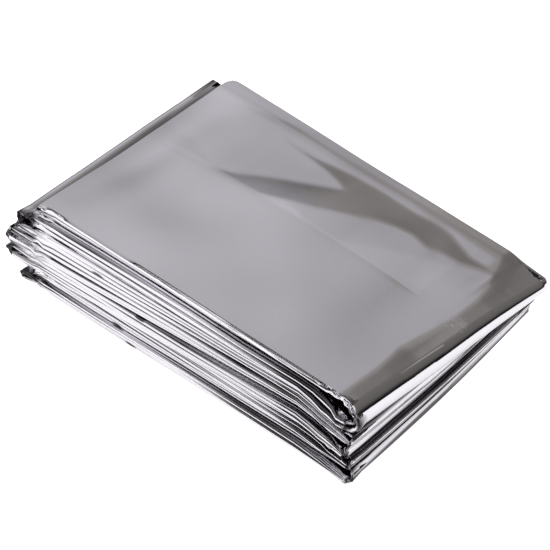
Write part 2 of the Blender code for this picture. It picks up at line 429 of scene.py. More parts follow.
FOLD_SEED = 7
CREASE_WANDER = 0.45 * MM
WANDER_LENGTH = 26.0 * MM
CRUMPLE_DEPTH = 2.4 * MM
CRUMPLE_LENGTH = 3.6 * MM
FAR_CALM = 0.75
WANDER_PANEL_STEP = 3.7
WANDER_ROLL_STEP = 5.3

lay = bpy.data.node_groups.new("leaves_laid_along_folds", "GeometryNodeTree")
lay_sockets = {}
for label, kind, value in (
        ("Geometry", "NodeSocketGeometry", None), ("Fold guide", "NodeSocketObject", None),
        ("Section guide", "NodeSocketObject", None), ("Crease wander", "NodeSocketFloat", CREASE_WANDER),
        ("Wander length", "NodeSocketFloat", WANDER_LENGTH),
        ("Crumple depth", "NodeSocketFloat", CRUMPLE_DEPTH),
        ("Crumple length", "NodeSocketFloat", CRUMPLE_LENGTH), ("Seed", "NodeSocketInt", FOLD_SEED),
        ("Film", "NodeSocketMaterial", None)):
    lay_sockets[label] = lay.interface.new_socket(label, in_out="INPUT", socket_type=kind)
    if value is not None:
        lay_sockets[label].default_value = value
lay.interface.new_socket("Geometry", in_out="OUTPUT", socket_type="NodeSocketGeometry")
lay_in = lay.nodes.new("NodeGroupInput")


def feed(tree, socket, value):
    """Links or sets one socket of a node."""
    if isinstance(value, bpy.types.NodeSocket):
        tree.links.new(value, socket)
    elif value is not None:
        socket.default_value = value


def maths(tree, kind, operation, *values):
    node = tree.nodes.new(kind)
    node.operation = operation
    for socket, value in zip(node.inputs, values):
        feed(tree, socket, value)
    return node.outputs[0]


def number_of(operation, *values):
    return maths(lay, "ShaderNodeMath", operation, *values)


def vector_of(operation, *values):
    return maths(lay, "ShaderNodeVectorMath", operation, *values)


def length_of(vector):
    node = lay.nodes.new("ShaderNodeVectorMath")
    node.operation = "LENGTH"
    lay.links.new(vector, node.inputs[0])
    return node.outputs["Value"]


def scaled(vector, factor):
    node = lay.nodes.new("ShaderNodeVectorMath")
    node.operation = "SCALE"
    feed(lay, node.inputs[0], vector)
    feed(lay, node.inputs["Scale"], factor)
    return node.outputs[0]


def guide_points(label):
    info = lay.nodes.new("GeometryNodeObjectInfo")
    info.transform_space = "ORIGINAL"
    lay.links.new(lay_in.outputs[label], info.inputs["Object"])
    size = lay.nodes.new("GeometryNodeAttributeDomainSize")
    lay.links.new(info.outputs["Geometry"], size.inputs["Geometry"])
    return info.outputs["Geometry"], size.outputs["Point Count"]


def sampled(points, name, kind, index):
    read = lay.nodes.new("GeometryNodeInputNamedAttribute")
    read.data_type = kind
    read.inputs["Name"].default_value = name
    take = lay.nodes.new("GeometryNodeSampleIndex")
    take.data_type = kind
    lay.links.new(points, take.inputs["Geometry"])
    lay.links.new(read.outputs["Attribute"], take.inputs["Value"])
    lay.links.new(index, take.inputs["Index"])
    return take.outputs["Value"]


fold_points, fold_count = guide_points("Fold guide")
section_points, section_count = guide_points("Section guide")
film_grid = lay.nodes.new("GeometryNodeMeshGrid")
lay.links.new(fold_count, film_grid.inputs["Vertices X"])
lay.links.new(section_count, film_grid.inputs["Vertices Y"])
point_index = lay.nodes.new("GeometryNodeInputIndex").outputs[0]
station_index = number_of("FLOOR", number_of("DIVIDE", number_of("ADD", point_index, 0.5), section_count))
column_index = number_of("SUBTRACT", point_index, number_of("MULTIPLY", station_index, section_count))

profile = sampled(section_points, "position", "FLOAT_VECTOR", column_index)
roll = sampled(section_points, "roll", "FLOAT", column_index)
edge = sampled(section_points, "edge", "FLOAT", column_index)
panel = sampled(fold_points, "panel", "FLOAT", station_index)
loose = sampled(fold_points, "loose", "FLOAT", station_index)
recess = number_of("MULTIPLY", sampled(fold_points, "recess", "FLOAT", station_index),
                   sampled(section_points, "recess", "FLOAT", column_index))
profile_parts = lay.nodes.new("ShaderNodeSeparateXYZ")
lay.links.new(profile, profile_parts.inputs[0])
place, inset, height = profile_parts.outputs

# Weights of the near, midway and far stations at one place across the strip
from_far = number_of("SUBTRACT", place, 1.0)
from_middle = number_of("SUBTRACT", place, 0.5)
near_weight = number_of("MULTIPLY", number_of("MULTIPLY", from_middle, from_far), 2.0)
middle_weight = number_of("MULTIPLY", number_of("MULTIPLY", place, from_far), -4.0)
far_weight = number_of("MULTIPLY", number_of("MULTIPLY", place, from_middle), 2.0)


def across_strip(prefix):
    total = None
    for side_name, weight in zip(SIDE_NAMES, (near_weight, middle_weight, far_weight)):
        value = sampled(fold_points, prefix + side_name, "FLOAT_VECTOR", station_index)
        part = scaled(value, weight)
        total = part if total is None else vector_of("ADD", total, part)
    return total


near_fade = number_of("SUBTRACT", 1.0, number_of("MULTIPLY", place, FAR_CALM))
middle = across_strip("middle ")
through = across_strip("through ")
inset = number_of("MULTIPLY", inset, sampled(fold_points, "roll depth", "FLOAT", station_index))
inset_length = number_of("MULTIPLY", number_of("ADD", inset, recess), length_of(through))
inset_vector = lay.nodes.new("ShaderNodeCombineXYZ")
lay.links.new(inset_length, inset_vector.inputs["Y"])
laid = vector_of("ADD", vector_of("ADD", middle, scaled(through, height)), inset_vector.outputs[0])

# Each crease wanders in and out along the pack in its own way
laid_parts = lay.nodes.new("ShaderNodeSeparateXYZ")
lay.links.new(laid, laid_parts.inputs[0])
wander_at = lay.nodes.new("ShaderNodeCombineXYZ")
lay.links.new(number_of("DIVIDE", laid_parts.outputs["X"], lay_in.outputs["Wander length"]),
              wander_at.inputs["X"])
lay.links.new(number_of("MULTIPLY", panel, WANDER_PANEL_STEP), wander_at.inputs["Y"])
lay.links.new(number_of("MULTIPLY", roll, WANDER_ROLL_STEP), wander_at.inputs["Z"])
wander_noise = lay.nodes.new("ShaderNodeTexNoise")
wander_noise.noise_dimensions = "4D"
wander_noise.inputs["Scale"].default_value = 1.0
wander_noise.inputs["Detail"].default_value = 2.0
lay.links.new(wander_at.outputs[0], wander_noise.inputs["Vector"])
lay.links.new(lay_in.outputs["Seed"], wander_noise.inputs["W"])
wander_amount = number_of("MULTIPLY", number_of("SUBTRACT", wander_noise.outputs[0], 0.5), 2.0)
wander_amount = number_of("MULTIPLY", wander_amount, lay_in.outputs["Crease wander"])
wander_amount = number_of("MULTIPLY", wander_amount, number_of("MULTIPLY", edge, near_fade))
wander = lay.nodes.new("ShaderNodeCombineXYZ")
lay.links.new(wander_amount, wander.inputs["Y"])

# The strip's turned ends are crumpled at their edges
crumple_noise = lay.nodes.new("ShaderNodeTexNoise")
crumple_noise.noise_dimensions = "4D"
crumple_noise.inputs["Scale"].default_value = 1.0
crumple_noise.inputs["Detail"].default_value = 4.0
crumple_noise.inputs["Roughness"].default_value = 0.62
inverse_length = number_of("DIVIDE", 1.0, lay_in.outputs["Crumple length"])
lay.links.new(scaled(laid, inverse_length), crumple_noise.inputs["Vector"])
lay.links.new(lay_in.outputs["Seed"], crumple_noise.inputs["W"])
crumple = vector_of("SUBTRACT", crumple_noise.outputs["Color"], (0.5, 0.5, 0.5))
crumple_amount = number_of("MULTIPLY", lay_in.outputs["Crumple depth"],
                           number_of("MULTIPLY", loose, edge))
crumple_amount = number_of("MULTIPLY", crumple_amount, near_fade)
crumple = scaled(crumple, number_of("MULTIPLY", crumple_amount, 2.0))

settle = lay.nodes.new("GeometryNodeSetPosition")
lay.links.new(film_grid.outputs["Mesh"], settle.inputs["Geometry"])
lay.links.new(vector_of("ADD", vector_of("ADD", laid, wander.outputs[0]), crumple),
              settle.inputs["Position"])
smooth = lay.nodes.new("GeometryNodeSetShadeSmooth")
lay.links.new(settle.outputs[0], smooth.inputs["Geometry"])
realize = lay.nodes.new("GeometryNodeRealizeInstances")
lay.links.new(smooth.outputs[0], realize.inputs[0])
dress = lay.nodes.new("GeometryNodeSetMaterial")
lay.links.new(realize.outputs[0], dress.inputs["Geometry"])
lay.links.new(lay_in.outputs["Film"], dress.inputs["Material"])
lay_out = lay.nodes.new("NodeGroupOutput")
lay.links.new(dress.outputs[0], lay_out.inputs[0])

# Film finish: aluminium vapour on clear polyester, a bright mirror with a faint
# violet cast, finely crinkled all over and scuffed where it has been handled.
# Its base colour is mixed towards near black with painted shade in the creases,
# at the turns' ends and at kinks.
FILM_COLOUR = (0.852, 0.832, 0.872, 1.0)
# The near black that is mixed into the base colour as painted shade
PAINTED_SHADE_COLOUR = (0.035, 0.03, 0.035, 1.0)
FILM_ROUGHNESS = 0.055
RUBBED_ROUGHNESS = 0.11
SCUFF_ROUGHNESS = 0.60
CRINKLE_LENGTH = 4.5 * MM
CRINKLE_DEPTH = 0.012 * MM
DENT_LENGTH = 3.0 * MM
DENT_DEPTH = 0.55 * MM
STREAK_LENGTH = 1.6 * MM
STREAK_WIDTH_SHARE = 0.25
RUB_LENGTH = 17.0 * MM
RUB_WIDTH_SHARE = 0.6
RUB_RANGE = (0.40, 0.65)
SCUFF_RANGE = (0.57, 0.63)
SCUFF_CENTRE = (58.6 * MM, 6.0 * MM, 26.0 * MM)
SCUFF_REACH = 6.0 * MM
NICK_SOLID = 0.6
NICK_SHADE_DARKNESS = 0.95
# Painted shade for small kinks in the near creases and for the open mouths of the
# left-hand folds, in mm, and how far each one reaches
Nick = namedtuple("Nick", "x y z reach_x reach_y reach_z")
NICKS = (
    Nick(-29.3, -40.0, 19.2, 2.6, 6.0, 0.62), Nick(-23.0, -40.0, 4.4, 2.6, 6.0, 0.62),
    Nick(-17.8, -40.0, 0.9, 2.6, 6.0, 0.62), Nick(-13.6, -40.0, 13.4, 2.6, 6.0, 0.62),
    Nick(-60.1, -38.6, 21.9, 3.0, 3.0, 2.0),
    Nick(-55.7, -38.4, 22.7, 3.2, 3.0, 2.4),
    Nick(-64.2, -39.4, 14.5, 2.0, 2.5, 1.3),
    Nick(-63.1, -39.6, 9.4, 3.4, 3.0, 1.6),
    Nick(-58.4, -39.2, 2.8, 3.6, 3.0, 1.8),
    Nick(-54.8, -39.4, 2.6, 3.4, 3.0, 1.3),
)


def shader_group(name, inputs, outputs):
    tree = bpy.data.node_groups.new(name, "ShaderNodeTree")
    for label, kind in inputs:
        tree.interface.new_socket(label, in_out="INPUT", socket_type=kind)
    for label, kind in outputs:
        tree.interface.new_socket(label, in_out="OUTPUT", socket_type=kind)
    return tree, tree.nodes.new("NodeGroupInput"), tree.nodes.new("NodeGroupOutput")


def add_noise(tree, vector, detail):
    node = tree.nodes.new("ShaderNodeTexNoise")
    node.inputs["Scale"].default_value = 1.0
    node.inputs["Detail"].default_value = detail
    tree.links.new(vector, node.inputs["Vector"])
    return node.outputs[0]


def divided(tree, vector, length):
    node = tree.nodes.new("ShaderNodeVectorMath")
    node.operation = "DIVIDE"
    feed(tree, node.inputs[0], vector)
    feed(tree, node.inputs[1], length)
    return node.outputs[0]


crinkle, crinkle_in, crinkle_out = shader_group(
    "fine_crinkle", [("Vector", "NodeSocketVector"), ("Length", "NodeSocketVector")],
    [("Height", "NodeSocketFloat")])
crinkle_noise = add_noise(crinkle, divided(crinkle, crinkle_in.outputs["Vector"],
                                           crinkle_in.outputs["Length"]), 3.0)
crinkle.links.new(crinkle_noise, crinkle_out.inputs["Height"])

scuffs, scuffs_in, scuffs_out = shader_group(
    "scuff_marks", [("Vector", "NodeSocketVector"), ("Length", "NodeSocketVector"),
                    ("Centre", "NodeSocketVector"), ("Reach", "NodeSocketFloat")],
    [("Amount", "NodeSocketFloat")])
scuff_noise = add_noise(scuffs, divided(scuffs, scuffs_in.outputs["Vector"],
                                        scuffs_in.outputs["Length"]), 2.0)
scuff_lines = scuffs.nodes.new("ShaderNodeMapRange")
scuff_lines.inputs["From Min"].default_value = SCUFF_RANGE[0]
scuff_lines.inputs["From Max"].default_value = SCUFF_RANGE[1]
scuffs.links.new(scuff_noise, scuff_lines.inputs["Value"])
scuff_distance = scuffs.nodes.new("ShaderNodeVectorMath")
scuff_distance.operation = "DISTANCE"
scuffs.links.new(scuffs_in.outputs["Vector"], scuff_distance.inputs[0])
scuffs.links.new(scuffs_in.outputs["Centre"], scuff_distance.inputs[1])
scuff_near = scuffs.nodes.new("ShaderNodeMapRange")
scuff_near.inputs["To Min"].default_value = 1.0
scuff_near.inputs["To Max"].default_value = 0.0
scuffs.links.new(scuff_distance.outputs["Value"], scuff_near.inputs["Value"])
scuffs.links.new(scuffs_in.outputs["Reach"], scuff_near.inputs["From Max"])
scuff_amount = maths(scuffs, "ShaderNodeMath", "MULTIPLY", scuff_lines.outputs[0],
                     scuff_near.outputs[0])
scuffs.links.new(scuff_amount, scuffs_out.inputs["Amount"])

# A spot of painted shade that fades out from its centre over the reach given
painted_nick_shade, nick_in, nick_out = shader_group(
    "painted_nick_shade", [("Vector", "NodeSocketVector"), ("Centre", "NodeSocketVector"),
                  ("Reach", "NodeSocketVector")], [("Amount", "NodeSocketFloat")])
from_centre = maths(painted_nick_shade, "ShaderNodeVectorMath", "SUBTRACT", nick_in.outputs["Vector"],
                    nick_in.outputs["Centre"])
nick_distance = painted_nick_shade.nodes.new("ShaderNodeVectorMath")
nick_distance.operation = "LENGTH"
painted_nick_shade.links.new(divided(painted_nick_shade, from_centre, nick_in.outputs["Reach"]), nick_distance.inputs[0])
nick_edge = painted_nick_shade.nodes.new("ShaderNodeMapRange")
nick_edge.inputs["From Min"].default_value = NICK_SOLID
nick_edge.inputs["From Max"].default_value = 1.0
nick_edge.inputs["To Min"].default_value = NICK_SHADE_DARKNESS
nick_edge.inputs["To Max"].default_value = 0.0
painted_nick_shade.links.new(nick_distance.outputs["Value"], nick_edge.inputs["Value"])
painted_nick_shade.links.new(nick_edge.outputs[0], nick_out.inputs["Amount"])

film = bpy.data.materials.new("metallised_film")
film.use_nodes = True
film_tree = film.node_tree
film_shader = film_tree.nodes["Principled BSDF"]
film_shader.inputs["Metallic"].default_value = 1.0
film_place = film_tree.nodes.new("ShaderNodeTexCoord")
# Painted shade: a point attribute, and the spots below, mix the base colour towards near black where the
# film lies in shadow
painted_shade_attribute = film_tree.nodes.new("ShaderNodeAttribute")
painted_shade_attribute.attribute_name = "painted_shade"
painted_shade_marks = painted_shade_attribute.outputs["Fac"]
film_colour_and_painted_shade = film_tree.nodes.new("ShaderNodeMix")
film_colour_and_painted_shade.data_type = "RGBA"
film_colour_and_painted_shade.inputs["A"].default_value = FILM_COLOUR
film_colour_and_painted_shade.inputs["B"].default_value = PAINTED_SHADE_COLOUR
film_tree.links.new(film_colour_and_painted_shade.outputs["Result"], film_shader.inputs["Base Color"])


def film_group(tree, **values):
    node = film_tree.nodes.new("ShaderNodeGroup")
    node.node_tree = tree
    film_tree.links.new(film_place.outputs["Object"], node.inputs["Vector"])
    for label, value in values.items():
        node.inputs[label].default_value = value
    return node


crinkled = film_group(crinkle, Length=(CRINKLE_LENGTH, CRINKLE_LENGTH, CRINKLE_LENGTH))
film_bump = film_tree.nodes.new("ShaderNodeBump")
film_bump.inputs["Strength"].default_value = 1.0
film_bump.inputs["Distance"].default_value = CRINKLE_DEPTH
film_tree.links.new(crinkled.outputs["Height"], film_bump.inputs["Height"])
crumpled = film_group(crinkle, Length=(DENT_LENGTH, DENT_LENGTH, DENT_LENGTH))
dented = film_tree.nodes.new("ShaderNodeAttribute")
dented.attribute_name = "crumpled"
dent_height = maths(film_tree, "ShaderNodeMath", "MULTIPLY", crumpled.outputs["Height"],
                    dented.outputs["Fac"])
dent_bump = film_tree.nodes.new("ShaderNodeBump")
dent_bump.inputs["Strength"].default_value = 1.0
dent_bump.inputs["Distance"].default_value = DENT_DEPTH
film_tree.links.new(dent_height, dent_bump.inputs["Height"])
film_tree.links.new(film_bump.outputs[0], dent_bump.inputs["Normal"])
film_tree.links.new(dent_bump.outputs[0], film_shader.inputs["Normal"])
rubbed = film_group(crinkle, Length=(RUB_LENGTH, RUB_LENGTH * RUB_WIDTH_SHARE, RUB_LENGTH))
scuffed = film_group(scuffs, Length=(STREAK_LENGTH, STREAK_LENGTH * STREAK_WIDTH_SHARE, STREAK_LENGTH),
                     Centre=SCUFF_CENTRE, Reach=SCUFF_REACH)
rub_range = film_tree.nodes.new("ShaderNodeMapRange")
rub_range.inputs["From Min"].default_value = RUB_RANGE[0]
rub_range.inputs["From Max"].default_value = RUB_RANGE[1]
rub_range.inputs["To Min"].default_value = FILM_ROUGHNESS
rub_range.inputs["To Max"].default_value = RUBBED_ROUGHNESS
film_tree.links.new(rubbed.outputs["Height"], rub_range.inputs["Value"])
scuff_mix = film_tree.nodes.new("ShaderNodeMix")
film_tree.links.new(scuffed.outputs["Amount"], scuff_mix.inputs["Factor"])
film_tree.links.new(rub_range.outputs[0], scuff_mix.inputs["A"])
scuff_mix.inputs["B"].default_value = SCUFF_ROUGHNESS
film_tree.links.new(scuff_mix.outputs["Result"], film_shader.inputs["Roughness"])

# Each nick adds its spot of painted shade to the base colour
for nick in NICKS:
    marked = film_group(painted_nick_shade, Centre=[c * MM for c in nick[:3]], Reach=[c * MM for c in nick[3:]])
    painted_shade_marks = maths(film_tree, "ShaderNodeMath", "MAXIMUM", painted_shade_marks, marked.outputs["Amount"])
film_tree.links.new(painted_shade_marks, film_colour_and_painted_shade.inputs["Factor"])

raw_blanket = bpy.data.objects.new("raw_blanket", bpy.data.meshes.new("raw_blanket"))
bpy.context.scene.collection.objects.link(raw_blanket)
laying = raw_blanket.modifiers.new("leaves laid along folds", "NODES")
laying.node_group = lay
for label, value in (("Fold guide", fold_guide), ("Section guide", section_guide),
                     ("Crease wander", CREASE_WANDER), ("Wander length", WANDER_LENGTH),
                     ("Crumple depth", CRUMPLE_DEPTH), ("Crumple length", CRUMPLE_LENGTH),
                     ("Seed", FOLD_SEED), ("Film", film)):
    laying[lay_sockets[label].identifier] = value
bpy.context.view_layer.update()
evaluated = raw_blanket.evaluated_get(bpy.context.evaluated_depsgraph_get())
blanket_mesh = bpy.data.meshes.new_from_object(evaluated)
blanket_mesh.name = "foil_blanket"
for scaffold in (raw_blanket, fold_guide, section_guide):
    bpy.data.objects.remove(scaffold, do_unlink=True)

rows = len(stations)
columns = len(section)
points = np.empty(rows * columns * 3)
blanket_mesh.vertices.foreach_get("co", points)
points = points.reshape(rows, columns, 3)

# Creases, dents and the rolled-down side of the top leaf, in mm. A facet is a
# band of the leaf that leans, given by where it begins and ends across the pack.
# The two arms are one bent facet that parts in two, and it mirrors the dark wall.
Facet = namedtuple("Facet", "x low high")
LOWER_ARM = (
    Facet(-34.0, 8.2, 8.4), Facet(-27.6, 8.2, 10.9), Facet(-23.2, 8.2, 14.3),
    Facet(-16.9, 8.3, 18.1), Facet(-10.2, 11.0, 21.4), Facet(-1.2, 14.0, 26.4),
    Facet(-1.1, 14.0, 33.4), Facet(6.4, 18.2, 33.4), Facet(12.8, 22.1, 33.2), Facet(19.1, 24.3, 33.0),
    Facet(25.1, 25.0, 33.6), Facet(31.4, 23.5, 33.2), Facet(34.7, 25.1, 31.8),
    Facet(41.3, 25.4, 29.4), Facet(50.3, 29.1, 29.2),
)
UPPER_ARM = (
    Facet(-27.0, 31.0, 31.2), Facet(-17.6, 30.2, 31.4), Facet(-10.3, 29.4, 32.3),
    Facet(-4.6, 28.0, 33.0), Facet(-1.2, 26.4, 33.4), Facet(-1.1, 26.4, 26.4),
)
BRIGHT_FACET = (
    Facet(14.0, 9.0, 9.2), Facet(22.0, 9.0, 15.0), Facet(32.0, 9.0, 19.0),
    Facet(41.0, 9.5, 23.0), Facet(47.0, 18.0, 27.0), Facet(51.5, 28.2, 28.4),
)
SMALL_FACET = (
    Facet(-12.0, 8.4, 8.5), Facet(-8.0, 8.4, 10.6), Facet(-3.0, 8.4, 10.2), Facet(0.0, 8.4, 8.5),
)
CREASE_BAND = (
    Facet(-59.0, 8.2, 15.0), Facet(-45.0, 8.2, 14.0), Facet(-36.0, 8.2, 10.0), Facet(-33.0, 8.2, 8.3),
)
FAR_STRIP = (Facet(-45.0, 34.4, 34.6), Facet(-20.0, 34.4, 41.0), Facet(52.0, 34.2, 41.0))
FAR_LINE = (Facet(-59.0, 36.7, 37.4), Facet(52.0, 36.1, 36.8))
LEANS = (
    (LOWER_ARM, 0.095), (UPPER_ARM, 0.095), (BRIGHT_FACET, -0.030), (SMALL_FACET, -0.035),
    (CREASE_BAND, 0.014), (FAR_STRIP, 0.038), (FAR_LINE, 0.075),
)
# Wide soft leans, by their middle, how far they reach and how much they lean
SoftLean = namedtuple("SoftLean", "x y reach_x reach_y amount")
SOFT_LEANS = (
    SoftLean(-54.0, -28.0, 10.0, 9.0, 0.080), SoftLean(-49.0, -14.0, 9.0, 9.0, 0.045),
    SoftLean(42.0, -18.0, 12.0, 14.0, 0.028), SoftLean(0.0, -6.0, 24.0, 13.0, -0.026),
    SoftLean(43.0, 14.0, 8.0, 6.0, -0.030), SoftLean(-54.0, 6.0, 8.0, 14.0, 0.022),
)
FACET_SOFTNESS = 0.35
CREASE_Y = 8.2
CREASE_DEPTH = 0.022
CREASE_HALF_WIDTH = 0.45
CREASE_ENDS = (-59.0, 42.0)
CREASE_END_FADE = 2.0
SIDE_BEND = 0.017
SIDE_BEND_RUN = 4.5
SIDE_BEND_AFTER = 0.3
FAR_DROP = 0.035
FAR_DROP_FROM = (49.0, 28.0)
FAR_DROP_FADE = 1.5
SideLine = namedtuple("SideLine", "y x lean")
SIDE_LINE = (
    SideLine(-38.0, 54.0, 0.125), SideLine(-33.6, 54.2, 0.125), SideLine(-20.6, 54.0, 0.120),
    SideLine(-14.0, 53.0, 0.115), SideLine(-10.8, 52.4, 0.115), SideLine(-4.1, 53.0, 0.112),
    SideLine(8.8, 54.6, 0.112), SideLine(18.2, 54.2, 0.100), SideLine(24.4, 52.6, 0.085),
    SideLine(28.5, 50.6, 0.075), SideLine(38.0, 47.0, 0.055),
)
SIDE_END = 57.5
SIDE_FADE = 3.0
SWELL_HEIGHT = 0.12
SWELL_LENGTH = 124.0
SWELL_WIDTH = 80.0
# Long shallow waves in the top leaf: wavelength, direction in degrees, height, step
Wave = namedtuple("Wave", "length direction height step")
WAVES = (
    Wave(47.0, 62.0, 0.050, 0.4), Wave(29.0, 75.0, 0.022, 2.1), Wave(61.0, 20.0, 0.05, 4.0),
    Wave(19.0, 50.0, 0.008, 1.0), Wave(25.0, 128.0, 0.055, 2.6), Wave(34.0, 96.0, 0.080, 5.1),
)
WAVES_END = 24.0
WAVES_FADE = 7.0
GRID_STEP = 0.2
LEVEL_RUN = 141
LEVEL_EDGE = 38.0
LEVEL_PAST_CREASE = 27.0


def soft_step(value, softness):
    return 1.0 / (1.0 + np.exp(-np.clip(value / softness, -40.0, 40.0) * 2.0))


grid_x = np.arange(-66.0, 66.01, GRID_STEP)
grid_y = np.arange(-40.0, 40.01, GRID_STEP)
lean = np.zeros((len(grid_x), len(grid_y)))
for facets, amount in LEANS:
    facet_x = [f.x for f in facets]
    low = np.interp(grid_x, facet_x, [f.low for f in facets])[:, None]
    high = np.interp(grid_x, facet_x, [f.high for f in facets])[:, None]
    past_low = soft_step(grid_y[None, :] - low, FACET_SOFTNESS)
    before_high = soft_step(high - grid_y[None, :], FACET_SOFTNESS)
    between = ((grid_x > facet_x[0]) & (grid_x < facet_x[-1]))[:, None]
    lean += amount * (past_low * before_high) * between
for soft in SOFT_LEANS:
    lean += soft.amount * np.exp(-((grid_x[:, None] - soft.x) / soft.reach_x) ** 2
                                 - ((grid_y[None, :] - soft.y) / soft.reach_y) ** 2)
relief = -np.cumsum(lean, axis=1) * GRID_STEP

# What the leans have lowered by the far edge is given back along the leaf
levelling = np.hanning(LEVEL_RUN)
far_edge = np.pad(relief[:, -1], LEVEL_RUN // 2, mode="edge")
far_drop = np.convolve(far_edge, levelling / levelling.sum(), "valid")
relief -= far_drop[:, None] * np.clip((grid_y + LEVEL_EDGE) / (2.0 * LEVEL_EDGE), 0.0, 1.0)[None, :]
past_crease = np.clip((grid_y - CREASE_Y) / LEVEL_PAST_CREASE, 0.0, 1.0)
relief -= relief[:, -1:] * (past_crease ** 2)[None, :]

crease_run = soft_step(grid_x - CREASE_ENDS[0], CREASE_END_FADE)
crease_run = crease_run * soft_step(CREASE_ENDS[1] - grid_x, CREASE_END_FADE)
crease_trough = np.exp(-((grid_y - CREASE_Y) / CREASE_HALF_WIDTH) ** 2)
relief -= CREASE_DEPTH * crease_run[:, None] * crease_trough[None, :]
side_start = np.interp(grid_y, [s.y for s in SIDE_LINE], [s.x for s in SIDE_LINE])[None, :]
past = np.clip(np.minimum(grid_x[:, None], SIDE_END) - side_start, 0.0, None)
side_lean = np.interp(grid_y, [s.y for s in SIDE_LINE], [s.lean for s in SIDE_LINE])[None, :]
curl = np.minimum(past, SIDE_BEND_RUN)
relief -= side_lean * past + SIDE_BEND * (curl ** 2 + 2.0 * curl * (past - curl) * SIDE_BEND_AFTER)
beyond = np.clip(grid_x[:, None] - SIDE_END, 0.0, SIDE_FADE)
relief -= side_lean * (beyond - beyond ** 2 / (2.0 * SIDE_FADE))
past_far = np.clip(grid_y - FAR_DROP_FROM[1], 0.0, None)
relief -= FAR_DROP * soft_step(grid_x - FAR_DROP_FROM[0], FAR_DROP_FADE)[:, None] * past_far[None, :]
swell_along = np.cos(np.pi * grid_x / SWELL_LENGTH)
relief += SWELL_HEIGHT * swell_along[:, None] * np.cos(np.pi * grid_y / SWELL_WIDTH)[None, :]
for wave in WAVES:
    turn = math.radians(wave.direction)
    run = grid_x[:, None] * math.cos(turn) + grid_y[None, :] * math.sin(turn)
    fade = soft_step(WAVES_END - grid_x, WAVES_FADE)[:, None]
    relief += wave.height * fade * np.sin(2.0 * np.pi * run / wave.length + wave.step)


def relief_at(x, y):
    """Height of the relief, in metres, at points given in metres."""
    gx = np.clip((x / MM - grid_x[0]) / GRID_STEP, 0, len(grid_x) - 1.001)
    gy = np.clip((y / MM - grid_y[0]) / GRID_STEP, 0, len(grid_y) - 1.001)
    ix = gx.astype(int)
    iy = gy.astype(int)
    fx = gx - ix
    fy = gy - iy
    lower = relief[ix, iy] * (1 - fy) + relief[ix, iy + 1] * fy
    upper = relief[ix + 1, iy] * (1 - fy) + relief[ix + 1, iy + 1] * fy
    return (lower * (1 - fx) + upper * fx) * MM


# The leaves under the top one on the first panel lie flatter than the strip, and
# the relief fades from the top leaf down through the pack.
EDGE_SHARE = 0.08
FLATTENED = 0.55
LEAF_SHARE = 0.9
DEPTH_SHARE = 0.85
FULL_DEPTH = 27.0 * MM
NEARLY = 0.001
panel_line = np.array(panel_of)
heights = np.array([c.height for c in section])[None, :]
top_leaf = np.array([c.height > 0.5 - SPACING and c.edge == 0.0 for c in section])[None, :]
inner = np.array([c.place for c in section])
on_top = panel_line < NEARLY
in_turn = (panel_line > NEARLY) & (panel_line < 1.0 - NEARLY)
inner_weight = np.clip(np.minimum(inner, 1.0 - inner) / EDGE_SHARE, 0.0, 1.0)[None, :]
sunk = np.where(top_leaf, 0.0, inner_weight) * on_top[:, None]
low_line = np.array([[m[2] - abs(t[2]) / 2 for m, t in zip(*pair)] for pair in stations])
low_here = low_line[:, :1] * (1 - inner) + low_line[:, 2:] * inner
flattened = low_here + (points[:, :, 2] - low_here) * (1 - FLATTENED * sunk)
points[:, :, 2] = np.where(sunk > 0, flattened, points[:, :, 2])
upper_weight = np.clip(1.0 - panel_line, 0.0, 1.0)[:, None]
depth_share = np.clip(points[:, :, 2] / FULL_DEPTH, 0.0, 1.0) ** 3
leaf_weight = np.where(top_leaf | in_turn[:, None], upper_weight,
                       LEAF_SHARE * upper_weight * np.clip(heights + 0.5, 0.0, 1.0))
shape_weight = np.maximum(leaf_weight, depth_share * np.maximum(1.0 - upper_weight, DEPTH_SHARE))
shape_weight = np.where(top_leaf & on_top[:, None], 1.0, shape_weight)
points[:, :, 2] += relief_at(points[:, :, 0], points[:, :, 1]) * shape_weight


def round_corner(rows_there, corner_x, corner_y, side):
    """Draws a square far corner in to a quarter circle about the point given."""
    in_x = (points[:, :, 0] - corner_x) * side
    in_y = points[:, :, 1] - corner_y
    in_corner = rows_there[:, None] & (in_x > 0) & (in_y > 0)
    longer = np.maximum(in_x, in_y) / np.maximum(np.hypot(in_x, in_y), 1e-9)
    points[:, :, 0] = np.where(in_corner, corner_x + side * in_x * longer, points[:, :, 0])
    points[:, :, 1] = np.where(in_corner, corner_y + in_y * longer, points[:, :, 1])


# The top panel's far corners are rounded, at its free end on the left and at the
# fat roll on the right.
CORNER_ROUND = 3.0 * MM
ROLL_END_ROUND = 2.6 * MM
round_corner(on_top, TOP_END[1] * MM + CORNER_ROUND, PANELS[0].far_at_left * MM - CORNER_ROUND, -1.0)
round_corner(panel_line <= 1.0 + NEARLY, TURNS[0].rim_far * MM - ROLL_END_ROUND,
             PANELS[0].far_at_right * MM - ROLL_END_ROUND, 1.0)

# The roll beside the top panel's free end stands up in a crest, with a valley
# between the two.
CREST_X = -61.3 * MM
CREST_WIDTH = 1.3 * MM
CREST_HEIGHT = 0.16 * MM
VALLEY_X = -58.6 * MM
VALLEY_DEPTH = 0.25 * MM
VALLEY_WIDTH = 0.7 * MM
on_second = (panel_line >= 1.0 - NEARLY) & (panel_line <= 1.5)
crest = CREST_HEIGHT * np.exp(-((points[:, :, 0] - CREST_X) / CREST_WIDTH) ** 2)
crest = crest - VALLEY_DEPTH * np.exp(-((points[:, :, 0] - VALLEY_X) / VALLEY_WIDTH) ** 2)
crest = crest * (on_second * np.clip(2.0 * (1.5 - panel_line), 0.0, 1.0))[:, None]
points[:, :, 2] += crest * np.clip(0.5 - heights, 0.0, 1.0)

points[:, :, 0] -= PACK_CENTRE[0]
points[:, :, 1] -= PACK_CENTRE[1]
points[:, :, 2] = np.maximum(points[:, :, 2], 0.0)
